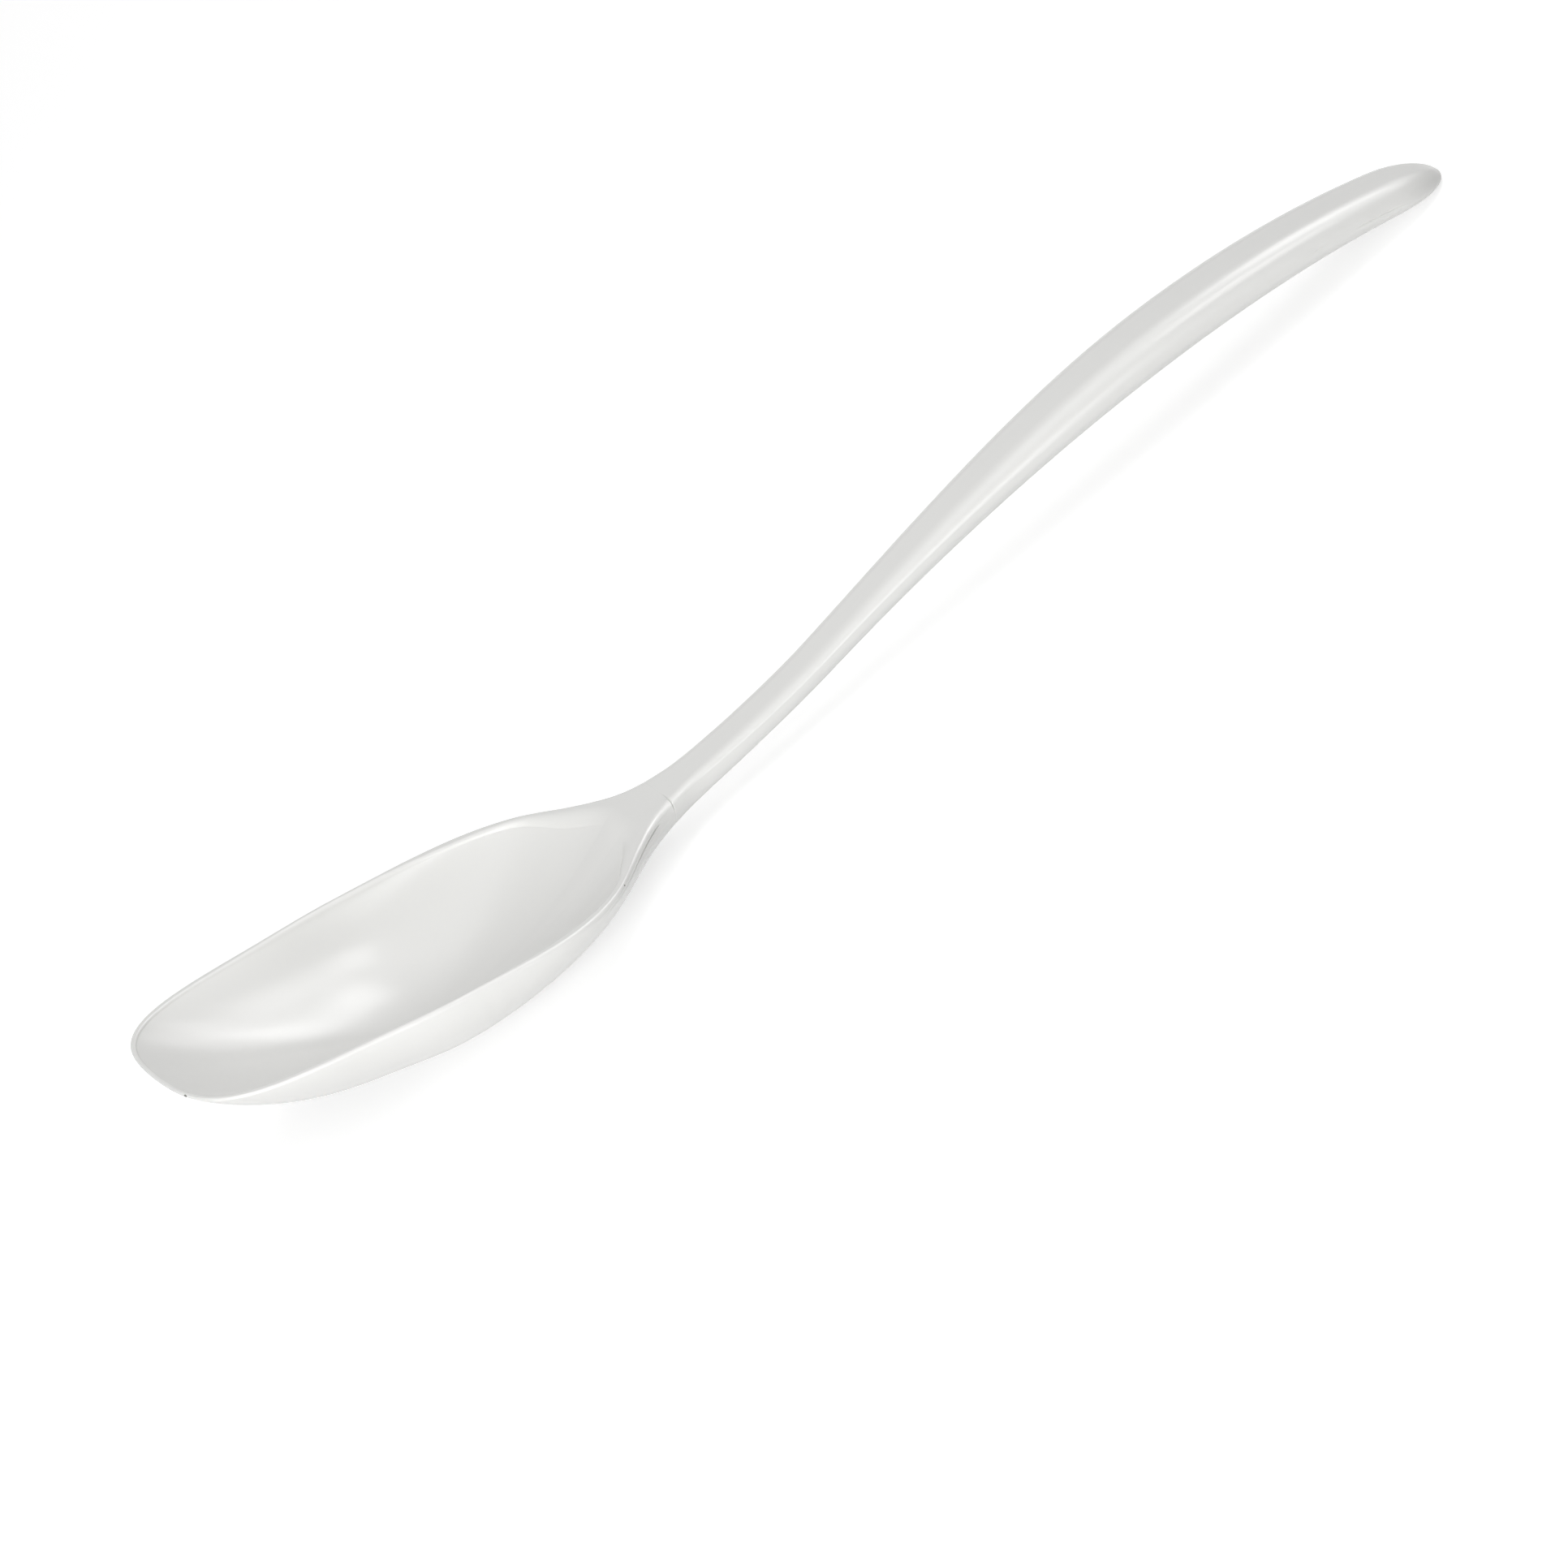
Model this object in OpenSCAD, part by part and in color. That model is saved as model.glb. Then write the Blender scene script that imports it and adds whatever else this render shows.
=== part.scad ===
// Cooking spoon in glossy white moulded plastic.
// The bowl carries a short tang that is bonded into a socket in the handle.
// The shape is first set out with the rim level and the front edge at x = 0,
// then laid down as the spoon rests on a table: on the bowl's underside and the end of the handle.

/* [Bowl] */
// Width of the bowl at its widest place
bowl_w = 65.5; // [52:0.5:80]
// Depth of the bowl, from the top of the rim to the underside
bowl_depth = 19.2; // [15:0.1:26]
// Distance from the front edge to the widest place
front_l = 54; // [44:0.5:70]
// How square the front of the bowl is, 2 being an ellipse
front_square_share = 4; // [2:0.1:5]
// How much the bowl draws in towards the corners of its front
front_taper_share = 0.06; // [0:0.01:0.12]
// Distance from the widest place to the rear edge of the basin
basin_rear_l = 48.5; // [38:0.5:52]
// How square the rear of the basin is, 2 being an ellipse
basin_square_share = 2.7; // [2:0.1:3.2]
// Thickness of the rim at the sides
rim_t = 2.3; // [1.8:0.1:3.4]
// Thickness of the rim at the front edge
rim_front_t = 1.5; // [1.4:0.1:2.8]
// Thickness of the floor of the bowl
floor_t = 2.8; // [2:0.1:4.5]
// Radius of the soft edge between the basin and the neck
basin_edge_r = 7; // [4:0.5:9]

/* [Neck] */
// Distance from the widest place to the end of the shoulders
shoulder_l = 75; // [66:0.5:82]
// Distance from the widest place to the seam between the bowl and the handle
seam_l = 59.5; // [55:0.5:66]
// Distance from the widest place to where the keel under the bowl has run out
keel_l = 105; // [96:1:120]
// Width of the neck at its narrowest place
neck_w = 11; // [9.5:0.5:15]
// Height of the neck's top above its side edge
neck_up = 1.2; // [1:0.1:2.5]
// Depth of the neck's underside below its side edge
neck_down = 4.6; // [3:0.1:5.5]
// Depth of the crease under the side edge of the neck
crease_d = 0.5; // [0:0.1:0.8]

/* [Handle] */
// Distance from the seam to the end of the handle
handle_l = 191.5; // [165:0.5:215]
// Distance from the seam to the narrowest place
neck_run = 32.5; // [26:0.5:40]
// Distance from the seam to the widest place of the grip
grip_run = 126.5; // [110:0.5:150]
// Width of the grip at its widest place
grip_w = 18.4; // [15:0.1:24]
// Height of the grip's top above its side edge
grip_up = 3.9; // [2.8:0.1:6]
// Depth of the grip's underside below its side edge
grip_down = 5.2; // [3.4:0.1:7]
// Width towards the end of the handle, before the end rounds off
end_w = 15; // [12:0.5:20]
// Length over which the end rounds off
end_round_l = 12.5; // [7:0.5:16]

/* [Handle bend] */
// Distance from the widest place of the bowl to where the side edge starts to rise
rise_start = 18; // [12:0.5:28]
// Distance from there to the middle of the rise
rise_mid_run = 82.5; // [70:0.5:96]
// Height of the side edge at the middle of the rise
rise_mid_h = 14.3; // [9:0.1:18]
// Slope of the side edge at the middle of the rise
rise_slope_share = 0.39; // [0.3:0.01:0.46]
// Distance from the middle of the rise to the crest
crest_run = 126; // [105:1:140]
// Height of the side edge at the crest
crest_h = 43.7; // [34:0.1:52]
// Distance from the widest place of the bowl to where the rim starts to swell into the neck
swell_start = 40; // [34:0.5:46]

/* [Tang and socket] */
// Length of the tang
tang_l = 14; // [8:0.5:18]
// Width of the tang
tang_w = 6; // [4:0.25:7]
// Thickness of the tang
tang_t = 1.6; // [1.2:0.1:1.8]
// Room for adhesive all round the tang
tang_clear = 0.1; // [0.05:0.05:0.2]

/* [Hidden] */

white = [0.93, 0.93, 0.92];

// Places along the spoon
widest_x = front_l;
seam_x = widest_x + seam_l;
shoulder_x = widest_x + shoulder_l;
keel_x = widest_x + keel_l;
neck_x = seam_x + neck_run;
grip_x = seam_x + grip_run;
end_x = seam_x + handle_l;
rise_x = widest_x + rise_start;
mid_x = rise_x + rise_mid_run;
crest_x = mid_x + crest_run;
swell_x = widest_x + swell_start;

// Shares that set how the curves run
shoulder_fall_share = 4.4;
shoulder_tail_share = 5.9;
keel_tail_share = 5.1;
rim_round_share = 0.42;
lip_tail_share = 16;
corner_soft_share = 0.35;
end_square_share = 2.2;
end_up_share = 0.88;
end_down_share = 0.54;
edge_flat_share = 0.61;
dome_share = 0.03;
crease_mid_share = 0.84;
crease_span_share = 0.2;
crease_turn_share = 1 / 6;
tang_root_share = 0.5;

// How full the section under the edge is, 0.5 being an ellipse
full_front_share = 0.93;
full_side_share = 0.585;
full_shoulder_share = 0.79;
full_handle_share = 0.45;
full_rear_basin_share = 0.95;
full_inside_share = 1.05;
full_shoulder_at_share = 0.73;
full_handle_at_share = 0.4;
full_shoulder_x = widest_x + seam_l * full_shoulder_at_share;
full_handle_x = neck_x - neck_run * full_handle_at_share;

// Radius of the rounded edges of the rim at the sides, and the least flat between the rim's two edges
rim_r = rim_t * rim_round_share;
rim_flat = rim_front_t * (1 - 2 * rim_round_share);

// How finely the surfaces are divided
front_n = 20;
rear_n = 30;
under_n = 12;
edge_n = 4;
land_n = 4;
basin_n = 12;
seam_top_n = 4;
grip_n = 30;
end_n = 8;

function clamp01(u) = max(0, min(1, u));
function ease(u) = let (v = clamp01(u)) v * v * (3 - 2 * v);
function mix(a, b, u) = a + (b - a) * u;

// Curve through two heights with a slope at each
function bend(x, x0, h0, s0, x1, h1, s1) =
    let (run = x1 - x0, t = (x - x0) / run)
    h0 * (2 * t ^ 3 - 3 * t ^ 2 + 1) + run * s0 * (t ^ 3 - 2 * t ^ 2 + t)
    + h1 * (3 * t ^ 2 - 2 * t ^ 3) + run * s1 * (t ^ 3 - t ^ 2);

// Value that runs from the neck to the grip and on to the end
function along_handle(x, at_neck, at_grip, at_end) =
    x < grip_x
        ? mix(at_neck, at_grip, ease((x - neck_x) / (grip_x - neck_x)))
        : mix(at_grip, at_end, clamp01((x - grip_x) / (end_x - grip_x)) ^ 2);

// Half of the width, seen from above, behind the widest place
function half_w(x) =
    let (h = along_handle(x, neck_w / 2, grip_w / 2, end_w / 2),
         u = clamp01((x - widest_x) / (shoulder_x - widest_x)))
    h + (bowl_w / 2 - h) * (1 - u ^ shoulder_fall_share) ^ shoulder_tail_share;

// Height of the middle line of the rise
function rise(x) =
    let (bow = (6 * (rise_mid_h - crest_h) + 2 * crest_run * rise_slope_share) / crest_run ^ 2)
    x < rise_x ? 0
    : x < mid_x ? bend(x, rise_x, 0, 0, mid_x, rise_mid_h, rise_slope_share)
    : x < crest_x ? bend(x, mid_x, rise_mid_h, rise_slope_share, crest_x, crest_h, 0)
    : crest_h + bow / 2 * (x - crest_x) ^ 2;

// How far the rim has swollen into the neck, from 0 to 1
function swell(x) = ease((x - swell_x) / (neck_x - swell_x));

// Height of the side edge, which lies one edge radius below the rim
function edge_h(x) = rise(x) - rim_r * (1 - swell(x));

// Height of the top above the side edge
function up(x) = mix(rim_r, along_handle(x, neck_up, grip_up, grip_up * end_up_share), swell(x));

// Depth of the underside below the side edge
function down(x) =
    let (h = along_handle(x, neck_down, grip_down, grip_down * end_down_share),
         u = clamp01((x - widest_x) / (keel_x - widest_x)))
    h + (bowl_depth - rim_r - h) * (1 - u ^ 2) ^ keel_tail_share;

// Fullness of the section under the edge
function full(x) =
    x < full_shoulder_x
        ? mix(full_side_share, full_shoulder_share, ease((x - widest_x) / (full_shoulder_x - widest_x)))
        : mix(full_shoulder_share, full_handle_share,
              ease((x - full_shoulder_x) / (full_handle_x - full_shoulder_x)));

// Width of the rounded part of the top edge
function edge_w(x) = mix(rim_r, half_w(x) * edge_flat_share, swell(x));

// Depth of the crease below the side edge of the neck
function crease(x) =
    let (far = abs(x - mix(widest_x, seam_x, crease_mid_share)) / (seam_l * crease_span_share))
    crease_d * (1 - ease(far));

// Top of the neck and handle at a place seen from above
function top_h(x, y) =
    let (w = half_w(max(x, widest_x)),
         s = clamp01((w - abs(y)) / edge_w(x)),
         dome = dome_share * swell(x))
    edge_h(x) + up(x) * ((1 - dome) * sqrt(1 - (1 - s) ^ 2) + dome * (1 - clamp01(abs(y) / w) ^ 2));

// Point of the underside, from the side edge (turn 0) to the keel (turn 90)
function under_pt(x, turn, side, shrink) =
    let (fold = crease(x) * min(1, turn / (90 * crease_turn_share)) * cos(turn))
    [x, side * (half_w(x) * cos(turn) - fold) * shrink,
     edge_h(x) - down(x) * sin(turn) ^ (2 * full(x)) * shrink];

// Point of the rounded top edge, from the side edge (turn 0) to its inner end (turn 90)
function edge_pt(x, turn, side, shrink) =
    let (y = half_w(x) - edge_w(x) * (1 - cos(turn)))
    [x, side * y * shrink, mix(edge_h(x), top_h(x, y), shrink)];

// Outline of the bowl or the basin, the turn being 0 at one side, 90 at the front and 180 at the other side
function oval_r(turn, a, b, square) =
    1 / ((abs(sin(turn)) / a) ^ square + (abs(cos(turn)) / b) ^ square) ^ (1 / square);
function draw_in(turn) = 1 - front_taper_share * sin(2 * turn) ^ 2;
function front_r(turn) = oval_r(turn, front_l, bowl_w / 2, front_square_share) * draw_in(turn);
function front_full(turn) = mix(full_side_share, full_front_share, ease(1 - abs(turn - 90) / 90));

// Radius of the rim's rounded edges, which gets smaller towards the thin front edge
function rim_r_at(turn) = mix(rim_t, rim_front_t, sin(turn) ^ 2) * rim_round_share;

// Stations from the widest place back to the seam, and turns round the sections
rear_x = [for (j = [0:rear_n]) mix(widest_x, seam_x, j / rear_n)];
under_turns = [for (k = [0:under_n]) 90 * k / under_n];
edge_turns = [for (m = [0:edge_n]) 90 * m / edge_n];

// Ribs round the bowl, from the seam on one side, round the front, to the seam on the other.
// Each rib is [kind, place, side], the place being a station or a turn.
ribs = concat(
    [for (j = [rear_n:-1:1]) [0, rear_x[j], -1]],
    [for (i = [0:2 * front_n]) [1, 180 * i / (2 * front_n), 0]],
    [for (j = [1:rear_n]) [0, rear_x[j], 1]]);
rib_n = len(ribs);

function front_pt(turn, r, h) = [widest_x - r * sin(turn), -r * cos(turn), h];

function rib_under(rib, k) =
    rib[0] == 0 ? under_pt(rib[1], under_turns[k], rib[2], 1)
    : let (t = under_turns[k], r = rim_r_at(rib[1]))
      front_pt(rib[1], front_r(rib[1]) * cos(t), -r - (bowl_depth - r) * sin(t) ^ (2 * front_full(rib[1])));

function rib_edge(rib, m) =
    rib[0] == 0 ? edge_pt(rib[1], edge_turns[m], rib[2], 1)
    : let (t = edge_turns[m], r = rim_r_at(rib[1]))
      front_pt(rib[1], front_r(rib[1]) - r * (1 - cos(t)), -r * (1 - sin(t)));

// Basin outline, its depth and its edge, by the direction from the middle of the bowl, 90 being the front
function basin_r(dir) =
    sin(dir) > 0
        ? oval_r(dir, front_l - rim_front_t, bowl_w / 2 - rim_t, front_square_share) * draw_in(dir)
        : oval_r(dir, basin_rear_l, bowl_w / 2 - rim_t, basin_square_share);
function basin_full(dir) =
    full_inside_share
    * (sin(dir) > 0 ? front_full(dir) : mix(full_side_share, full_rear_basin_share, ease(-sin(dir))));
function rear_part(dir) = max(0, -sin(dir)) ^ lip_tail_share;
function lip_r(dir) = sin(dir) > 0 ? rim_r_at(dir) : mix(rim_r, basin_edge_r, rear_part(dir));

// The edge turns down to the slope of the wall below it: steep at the sides, gentle at the rear
rear_turn = atan(2 * (bowl_depth - floor_t) / basin_rear_l);
function lip_turn(dir) = mix(90, rear_turn, rear_part(dir));
function lip_in(dir, turn) = lip_r(dir) * (sin(lip_turn(dir)) - sin(turn));
function lip_fall(dir, turn) = lip_r(dir) * (1 - cos(turn));

// Lesser of two distances, with a soft change from one to the other
function soft_min(a, b, soft) = (a + b - norm([a - b, soft])) / 2;

// Loop of places that bound the flat land round the basin: the ribs, then the top of the seam
seam_half = half_w(seam_x) - edge_w(seam_x);
seam_tops = [for (i = [seam_top_n - 1:-1:1 - seam_top_n]) seam_half * i / seam_top_n];
land_outer = concat(
    [for (rib = ribs) rib_edge(rib, edge_n)],
    [for (y = seam_tops) [seam_x, y, top_h(seam_x, y)]]);
loop_n = len(land_outer);

function dir_of(p) = atan2(widest_x - p[0], -p[1]);
function reach_of(p) = norm([p[0] - widest_x, p[1]]);
function polar_pt(dir, r) = [widest_x - r * sin(dir), -r * cos(dir)];

// Distance to the basin's wall, which stays inside the rim all round
function wall_r(l) =
    let (d = dir_of(land_outer[l]))
    soft_min(basin_r(d), reach_of(land_outer[l]) - lip_in(d, 0) - rim_flat,
             basin_edge_r * corner_soft_share * rear_part(d));

function land_pt(l, m) =
    let (p = land_outer[l], d = dir_of(p),
         q = polar_pt(d, wall_r(l) + lip_in(d, 0)),
         u = m / land_n, x = mix(p[0], q[0], u), y = mix(p[1], q[1], u))
    [x, y, top_h(x, y)];

function lip_pt(l, m) =
    let (d = dir_of(land_outer[l]), t = lip_turn(d) * m / edge_n,
         q = polar_pt(d, wall_r(l) + lip_in(d, t)))
    [q[0], q[1], top_h(q[0], q[1]) - lip_fall(d, t)];

function basin_pt(l, m) =
    let (d = dir_of(land_outer[l]), t = 90 * (1 - m / basin_n),
         q = polar_pt(d, wall_r(l) * sin(t)),
         brink = polar_pt(d, wall_r(l)),
         brink_h = top_h(brink[0], brink[1]) - lip_fall(d, lip_turn(d)),
         low = floor_t - bowl_depth)
    [q[0], q[1], mix(brink_h, low, cos(t) ^ (2 * basin_full(d)))];

// Quads between two rows of point numbers
function strip(a, b, closed) =
    [for (i = [0:len(a) - (closed ? 1 : 2)]) let (j = (i + 1) % len(a)) [a[i], b[i], b[j], a[j]]];

// Triangles from a closed row of point numbers to one point inside it
function fan(a, c) = [for (i = [0:len(a) - 1]) [a[i], a[(i + 1) % len(a)], c]];

// The bowl's points: the keel, the underside, the rounded edge, the land, the lip and the basin
keel_pts = [for (j = [rear_n:-1:0]) under_pt(rear_x[j], 90, 0, 1)];
under_pts = [for (k = [0:under_n - 1]) for (rib = ribs) rib_under(rib, k)];
edge_pts = [for (m = [1:edge_n]) for (rib = ribs) rib_edge(rib, m)];
seam_pts = [for (y = seam_tops) [seam_x, y, top_h(seam_x, y)]];
land_pts = [for (m = [1:land_n]) for (l = [0:loop_n - 1]) land_pt(l, m)];
lip_pts = [for (m = [1:edge_n]) for (l = [0:loop_n - 1]) lip_pt(l, m)];
basin_pts = [for (m = [1:basin_n - 1]) for (l = [0:loop_n - 1]) basin_pt(l, m)];
basin_low = [[widest_x, 0, floor_t - bowl_depth]];
bowl_pts = concat(keel_pts, under_pts, edge_pts, seam_pts, land_pts, lip_pts, basin_pts, basin_low);

under_at = len(keel_pts);
edge_at = under_at + len(under_pts);
seam_at = edge_at + len(edge_pts);
land_at = seam_at + len(seam_pts);
low_at = len(bowl_pts) - 1;

// Rows of point numbers
function keel_row() = [for (i = [0:rib_n - 1]) min(i, rib_n - 1 - i, rear_n)];
function under_row(k) = k == under_n ? keel_row() : [for (i = [0:rib_n - 1]) under_at + k * rib_n + i];
function edge_row(m) = m == 0 ? under_row(0) : [for (i = [0:rib_n - 1]) edge_at + (m - 1) * rib_n + i];
seam_row = [for (i = [0:len(seam_pts) - 1]) seam_at + i];
function loop_row(m) =
    m == 0 ? concat(edge_row(edge_n), seam_row)
    : [for (l = [0:loop_n - 1]) land_at + (m - 1) * loop_n + l];
last_loop = land_n + edge_n + basin_n - 1;

// Outline of the seam: over the top, then back along the underside
seam_ring = concat(
    [for (m = [1:edge_n]) edge_row(m)[0]],
    [for (i = [len(seam_row) - 1:-1:0]) seam_row[i]],
    [for (m = [edge_n:-1:1]) edge_row(m)[rib_n - 1]],
    [for (k = [0:under_n]) under_row(k)[rib_n - 1]],
    [for (k = [under_n - 1:-1:0]) under_row(k)[0]]);

bowl_faces = concat(
    [for (k = [0:under_n - 1]) each [for (q = strip(under_row(k), under_row(k + 1), false))
        q[1] == q[2] ? [q[0], q[1], q[3]] : q]],
    [for (m = [0:edge_n - 1]) each strip(edge_row(m + 1), edge_row(m), false)],
    [for (m = [0:last_loop - 1]) each strip(loop_row(m + 1), loop_row(m), true)],
    fan(loop_row(last_loop), low_at),
    [seam_ring]);

// The handle's rings run from the seam to the start of the end, then round it off
function ring(x, shrink) = concat(
    [for (t = under_turns) under_pt(x, t, -1, shrink)],
    [for (k = [under_n - 1:-1:0]) under_pt(x, under_turns[k], 1, shrink)],
    [for (m = [1:edge_n]) edge_pt(x, edge_turns[m], 1, shrink)],
    [for (i = [seam_top_n - 1:-1:1 - seam_top_n])
        let (y = (half_w(x) - edge_w(x)) * i / seam_top_n)
        [x, y * shrink, mix(edge_h(x), top_h(x, y), shrink)]],
    [for (m = [edge_n:-1:1]) edge_pt(x, edge_turns[m], -1, shrink)]);

end_start = end_x - end_round_l;
handle_rings = concat(
    [for (j = [0:grip_n]) ring(mix(seam_x, end_start, j / grip_n), 1)],
    [for (j = [1:end_n - 1]) let (t = 90 * j / end_n)
        ring(end_start + end_round_l * sin(t), (1 - sin(t) ^ end_square_share) ^ 0.5)]);
ring_n = len(handle_rings[0]);
handle_pts = concat([for (r = handle_rings) each r], [[end_x, 0, edge_h(end_x)]]);
tip_at = len(handle_pts) - 1;

function ring_row(j) = [for (i = [0:ring_n - 1]) j * ring_n + i];

handle_faces = concat(
    [ring_row(0)],
    [for (j = [0:len(handle_rings) - 2]) each strip(ring_row(j), ring_row(j + 1), true)],
    [for (i = [0:ring_n - 1]) let (r = ring_row(len(handle_rings) - 1)) [r[i], tip_at, r[(i + 1) % ring_n]]]);

// Rest of the spoon on a table: the line that touches both the bowl and the end from below
low_line = [for (x = rear_x) [x, edge_h(x) - down(x)]];
front_line = [for (k = [0:under_n]) let (p = rib_under([1, 90, 0], k)) [p[0], p[2]]];
end_line = [for (r = handle_rings) [r[under_n][0], r[under_n][2]]];
rest_slope = min([for (e = end_line) if (e[0] > crest_x - crest_run / 2)
    max([for (b = concat(low_line, front_line)) (e[1] - b[1]) / (e[0] - b[0])])]);
rest_tilt = atan(rest_slope);

// Extents of the spoon once it is laid down
function laid_x(p) = p[0] * cos(rest_tilt) + p[2] * sin(rest_tilt);
function laid_z(p) = p[2] * cos(rest_tilt) - p[0] * sin(rest_tilt);
laid_xs = [for (p = concat(bowl_pts, handle_pts)) laid_x(p)];
laid_low = min([for (p = concat(bowl_pts, handle_pts)) laid_z(p)]);
laid_mid = (min(laid_xs) + max(laid_xs)) / 2;

// The tang follows the middle of the neck's section from the seam into the handle
function middle_h(x) = edge_h(x) + (up(x) - down(x)) / 2;
tang_slope = atan((middle_h(seam_x + tang_l) - middle_h(seam_x)) / tang_l);

module at_rest() {
    translate([-laid_mid, 0, -laid_low])
        rotate([0, rest_tilt, 0])
            children();
}

// Flat bar from inside the bowl's neck into the handle, grown by the room given
module tang_bar(room) {
    root_l = tang_l * tang_root_share;
    translate([seam_x, 0, middle_h(seam_x)])
        rotate([0, -tang_slope, 0])
            translate([-root_l, -tang_w / 2 - room, -tang_t / 2 - room])
                cube([root_l + tang_l + room, tang_w + 2 * room, tang_t + 2 * room]);
}

module bowl() {
    color(white)
        at_rest()
            union() {
                polyhedron(points = bowl_pts, faces = bowl_faces, convexity = 6);
                tang_bar(0);
            }
}

module handle() {
    color(white)
        at_rest()
            difference() {
                polyhedron(points = handle_pts, faces = handle_faces, convexity = 4);
                tang_bar(tang_clear);
            }
}

bowl();
handle();
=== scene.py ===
"""Cooking spoon in glossy white moulded plastic: surfaces, studio and camera."""
import math

import bpy
import numpy as np
from mathutils import Matrix, Vector


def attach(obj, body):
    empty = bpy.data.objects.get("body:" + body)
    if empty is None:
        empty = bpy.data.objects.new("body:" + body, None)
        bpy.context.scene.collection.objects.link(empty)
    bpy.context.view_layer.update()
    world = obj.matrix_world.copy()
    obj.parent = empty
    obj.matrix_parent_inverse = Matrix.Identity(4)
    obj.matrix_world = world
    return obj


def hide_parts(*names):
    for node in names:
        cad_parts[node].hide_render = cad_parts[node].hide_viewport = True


MM = 0.001

# The part's own sizes in mm, as in its CAD source, but with a thinner rim and softer basin corners
BOWL_W, BOWL_DEPTH, FRONT_L = 65.5, 19.2, 54.0
FRONT_SQUARE, FRONT_TAPER = 4.0, 0.06
BASIN_REAR_L, BASIN_SQUARE = 48.5, 2.7
RIM_T, RIM_FRONT_T, FLOOR_T, BASIN_EDGE_R = 1.9, 1.0, 2.8, 7.0
SHOULDER_L, SEAM_L, KEEL_L = 75.0, 59.5, 105.0
NECK_W, NECK_UP, NECK_DOWN, CREASE_D = 11.0, 1.2, 4.6, 0.5
HANDLE_L, NECK_RUN, GRIP_RUN = 191.5, 32.5, 126.5
GRIP_W, GRIP_UP, GRIP_DOWN = 18.4, 3.9, 5.2
END_W, END_ROUND_L = 15.0, 12.5
RISE_START, RISE_MID_RUN, RISE_MID_H, RISE_SLOPE = 18.0, 82.5, 14.3, 0.39
CREST_RUN, CREST_H, SWELL_START = 126.0, 43.7, 40.0
TANG_L, TANG_W, TANG_T, TANG_CLEAR = 14.0, 6.0, 1.6, 0.1

SHOULDER_FALL, SHOULDER_TAIL, KEEL_TAIL = 4.4, 5.9, 5.1
RIM_ROUND, LIP_TAIL, END_SQUARE, END_UP, END_DOWN = 0.42, 16.0, 2.2, 0.88, 0.54
EDGE_FLAT, DOME, CORNER_SOFT = 0.61, 0.03, 3.4
CREASE_MID, CREASE_SPAN, CREASE_TURN = 0.84, 0.2, 1 / 6
FULL_FRONT, FULL_SIDE, FULL_SHOULDER = 0.93, 0.585, 0.79
FULL_HANDLE, FULL_REAR_BASIN, FULL_INSIDE = 0.45, 0.95, 1.05
FULL_SHOULDER_AT, FULL_HANDLE_AT = 0.73, 0.4

WIDEST_X = FRONT_L
SEAM_X = WIDEST_X + SEAM_L
SHOULDER_X = WIDEST_X + SHOULDER_L
KEEL_X = WIDEST_X + KEEL_L
NECK_X = SEAM_X + NECK_RUN
GRIP_X = SEAM_X + GRIP_RUN
END_X = SEAM_X + HANDLE_L
RISE_X = WIDEST_X + RISE_START
MID_X = RISE_X + RISE_MID_RUN
CREST_X = MID_X + CREST_RUN
SWELL_X = WIDEST_X + SWELL_START
FULL_SHOULDER_X = WIDEST_X + SEAM_L * FULL_SHOULDER_AT
FULL_HANDLE_X = NECK_X - NECK_RUN * FULL_HANDLE_AT
RIM_R = RIM_T * RIM_ROUND
RIM_FLAT = RIM_FRONT_T * (1 - 2 * RIM_ROUND)

# Fine marks of the moulding, in mm and radians: half widths, depths, and where they begin, fade and end
SEAM_HALF, SEAM_DEPTH, SEAM_FAINT = 0.16, 0.36, 0.1
SEAM_TURN, SEAM_TOP_RUN = math.radians(22), 3.5
FOLD_HALF, FOLD_DEPTH, FOLD_TURN = 0.13, 0.36, math.radians(8)
FOLD_START_X, FOLD_START_RUN = 84, 8
FOLD_DEEP_X, FOLD_DEEP_RUN, FOLD_SHALLOW = 97, 5, 0.4
FOLD_END_X, FOLD_END_RUN = SEAM_X - 4, 1.5
BEAD_IN, BEAD_TURN = 1.35, math.radians(26)
BEAD_START_X, BEAD_END_X, BEAD_RUN = 91, 106, 11
PARTING_HALF, PARTING_DEPTH, PARTING_FADE = 0.16, 0.12, 1.5
PARTING_RUNS = ((-33.5, -29.5), (-23.0, -11.0))

# Squareness of the tang, the bevel at its end in mm, and how fast the basin's rear corners soften
TANG_SQUARE, TANG_BEVEL, CORNER_TAIL = 8, 0.3, 6

# Fineness of the surfaces: counts, turns in degrees, runs in mm from the seam and shares of the rim's top
REAR_N, FRONT_N, UNDER_N, EDGE_N, TOP_N = 121, 161, 48, 12, 20
LIP_N, BASIN_N = 14, 60
HANDLE_N, END_N, LOW_N = 260, 31, 241
FINE_UNDER = [0.0, 0.15, 0.3, 0.5, 0.8, 1.2, 6.2, 6.6, 7.0, 7.4, 7.7, 8.0, 8.3, 8.6, 9.0, 9.4, 9.8]
FINE_EDGE = [0.0, 1.5, 3.0]
NEAR_SEAM = np.array([0.0, 0.05, 0.1, 0.15, 0.2, 0.26, 0.34, 0.45])
LAND = (0.03, 0.08, 0.16, 0.3, 0.45, 0.6, 0.8, 1.0)

# Edges that turn by more than this stay sharp
SHARP_TURN = math.radians(50)

# Least length that is divided by, and how near the middle plane a point counts as lying in it, in mm
LEAST_ARM, MIDLINE = 0.001, 0.05

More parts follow.
